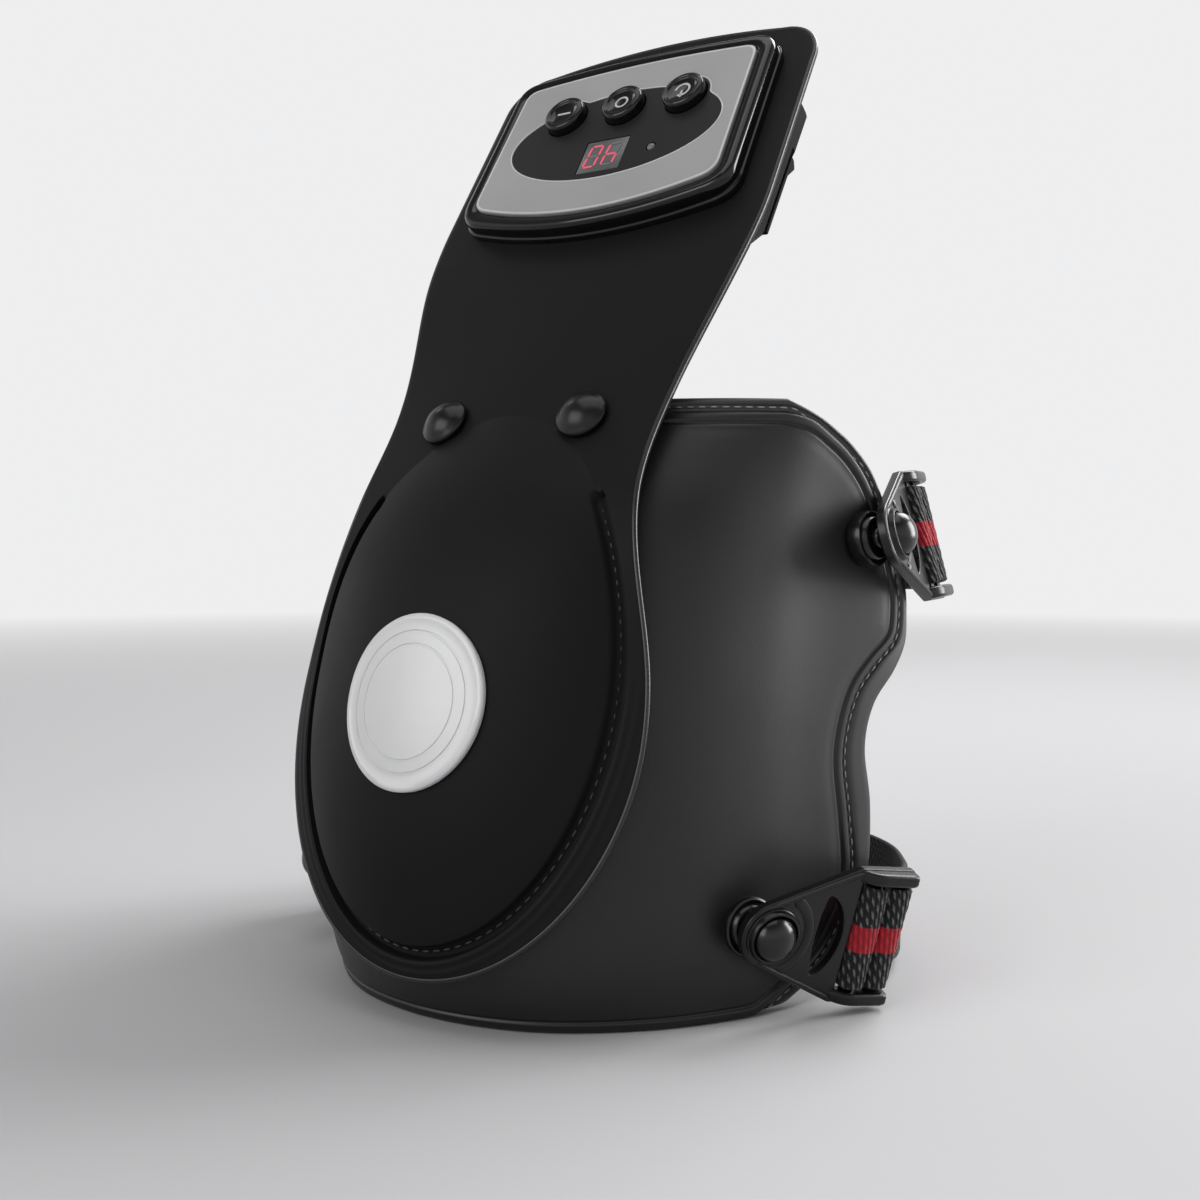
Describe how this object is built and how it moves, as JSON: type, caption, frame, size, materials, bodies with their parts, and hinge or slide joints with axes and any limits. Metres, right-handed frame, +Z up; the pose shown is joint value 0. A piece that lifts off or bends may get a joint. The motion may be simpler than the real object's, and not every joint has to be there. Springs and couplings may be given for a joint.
{
  "type": "knee massager",
  "caption": "Heated knee massager: padded wrap with strap buckles, a domed front panel over vibrating motors, and a push-button control box on a bending neck.",
  "frame": {"origin": "middle of the footprint, on the floor", "axes": "+X to the right seen from the front, +Y to the back where the leg is, +Z up along the leg"},
  "size_m": [0.2312, 0.1988, 0.3061],
  "materials": {
    "soft_panel": "matt soft-touch sheet, near black",
    "wrap_skin": "satin grained sheet, charcoal",
    "edge_binding": "smooth rolled edge with stitching beside it",
    "liner_cloth": "brushed cloth",
    "heating_film": "carbon fibre cloth",
    "gloss_black": "glossy black",
    "button_black": "glossy black with a raised ring",
    "emblem_metal": "satin silver, bare",
    "plate_silver": "silver-grey, matt",
    "inset_grey": "dark, half gloss",
    "switch_black": "matt black",
    "display_grey": "grey window with red segments",
    "lamp_clear": "clear grey lens",
    "board_green": "green solder mask",
    "housing_black": "satin black",
    "battery_wrap": "blue sleeve",
    "screw_steel": "bright",
    "cable_black": "matt black",
    "cradle_grey": "matt grey",
    "motor_steel": "bright can",
    "weight_brass": "dull",
    "webbing": "ribbed elastic webbing with a red stripe along its middle"
  },
  "bodies": {
    "front": {"knee_panel": "soft_panel", "emblem_disc": "emblem_metal", "rivet_right": "gloss_black", "rivet_left": "gloss_black", "wrap_centre_shell": "wrap_skin", "heating_pad_centre": "heating_film", "motor_cradle": "cradle_grey", "motor_right": "motor_steel", "motor_left": "motor_steel", "strap_rear_upper": "webbing", "strap_rear_lower": "webbing"},
    "neck": {"neck_panel": "soft_panel", "controller_bezel": "gloss_black", "face_plate": "plate_silver", "control_inset": "inset_grey", "tactile_switch_down": "switch_black", "tactile_switch_mode": "switch_black", "tactile_switch_start": "switch_black", "display_module": "display_grey", "display_socket": "switch_black", "status_lamp": "lamp_clear", "circuit_board": "board_green", "rear_housing": "housing_black", "battery_pack": "battery_wrap", "housing_screw_right": "screw_steel", "housing_screw_left": "screw_steel", "charging_socket": "switch_black", "neck_cable": "cable_black"},
    "button_down": {"button_down": "button_black"},
    "button_mode": {"button_mode": "button_black"},
    "button_start": {"button_start": "button_black"},
    "battery_cover": {"battery_cover": "housing_black"},
    "wing_right": {"wing_shell_right": "wrap_skin", "wing_binding_right": "edge_binding", "wing_liner_right": "liner_cloth", "heating_pad_right": "heating_film", "stud_upper_right": "gloss_black", "stud_lower_right": "gloss_black", "strap_side_upper_right": "webbing", "strap_side_lower_right": "webbing"},
    "wing_left": {"wing_shell_left": "wrap_skin", "wing_binding_left": "edge_binding", "wing_liner_left": "liner_cloth", "heating_pad_left": "heating_film", "stud_upper_left": "gloss_black", "stud_lower_left": "gloss_black", "strap_side_upper_left": "webbing", "strap_side_lower_left": "webbing"},
    "buckle_upper_right": {"buckle_upper_right": "gloss_black", "strap_loop_upper_right": "webbing"},
    "buckle_upper_left": {"buckle_upper_left": "gloss_black", "strap_loop_upper_left": "webbing"},
    "buckle_lower_right": {"buckle_lower_right": "gloss_black", "strap_loop_lower_right": "webbing"},
    "buckle_lower_left": {"buckle_lower_left": "gloss_black", "strap_loop_lower_left": "webbing"},
    "motor_weight_right": {"motor_weight_right": "weight_brass"},
    "motor_weight_left": {"motor_weight_left": "weight_brass"}
  },
  "joints": [
    {"name": "neck_bend", "type": "hinge", "parent": "front", "child": "neck", "pos_m": [0, -0.03699, 0.17903], "axis": [1, 0, 0], "range_deg": [-30, 10], "stiffness_Nm_per_rad": 8, "springref_deg": 1.15, "deforming": ["neck_cable"]},
    {"name": "down_press", "type": "slide", "parent": "neck", "child": "button_down", "axis": [0, 0.8368, -0.5476], "range_m": [0, 0.0008], "stiffness_N_per_m": 900},
    {"name": "mode_press", "type": "slide", "parent": "neck", "child": "button_mode", "axis": [0, 0.8368, -0.5476], "range_m": [0, 0.0008], "stiffness_N_per_m": 900},
    {"name": "start_press", "type": "slide", "parent": "neck", "child": "button_start", "axis": [0, 0.8368, -0.5476], "range_m": [0, 0.0008], "stiffness_N_per_m": 900},
    {"name": "battery_cover_slide", "type": "slide", "parent": "neck", "child": "battery_cover", "axis": [0, -0.5476, -0.8368], "range_m": [0, 0.012]},
    {"name": "wing_right_spread", "type": "hinge", "parent": "front", "child": "wing_right", "pos_m": [0.0395, -0.084, 0.02], "axis": [0, -0.2197, -0.9756], "range_deg": [0, 10], "stiffness_Nm_per_rad": 8, "deforming": ["wing_liner_right", "strap_side_upper_right", "strap_side_lower_right"]},
    {"name": "wing_left_spread", "type": "hinge", "parent": "front", "child": "wing_left", "pos_m": [-0.0395, -0.084, 0.02], "axis": [0, 0.2197, 0.9756], "range_deg": [0, 10], "stiffness_Nm_per_rad": 8, "deforming": ["wing_liner_left", "strap_side_upper_left", "strap_side_lower_left"]},
    {"name": "buckle_upper_right_turn", "type": "hinge", "parent": "wing_right", "child": "buckle_upper_right", "pos_m": [0.10145, 0.00636, 0.13631], "axis": [0.9606, 0.1262, 0.2476], "range_deg": [-12, 12], "deforming": ["strap_side_upper_right"]},
    {"name": "buckle_lower_right_turn", "type": "hinge", "parent": "wing_right", "child": "buckle_lower_right", "pos_m": [0.08641, -0.04287, 0.02662], "axis": [0.8215, -0.5189, -0.2362], "range_deg": [0, 15], "deforming": ["strap_side_lower_right"]},
    {"name": "buckle_upper_left_turn", "type": "hinge", "parent": "wing_left", "child": "buckle_upper_left", "pos_m": [-0.10145, 0.00636, 0.13631], "axis": [0.9606, -0.1262, -0.2476], "range_deg": [-12, 12], "deforming": ["strap_side_upper_left"]},
    {"name": "buckle_lower_left_turn", "type": "hinge", "parent": "wing_left", "child": "buckle_lower_left", "pos_m": [-0.08641, -0.04287, 0.02662], "axis": [0.8215, 0.5189, 0.2362], "range_deg": [0, 15], "deforming": ["strap_side_lower_left"]},
    {"name": "motor_right_spin", "type": "hinge", "parent": "front", "child": "motor_weight_right", "pos_m": [0.0149, -0.08703, 0.08021], "axis": [1, 0, 0], "continuous": true},
    {"name": "motor_left_spin", "type": "hinge", "parent": "front", "child": "motor_weight_left", "pos_m": [-0.0149, -0.08703, 0.08021], "axis": [1, 0, 0], "continuous": true}
  ]
}
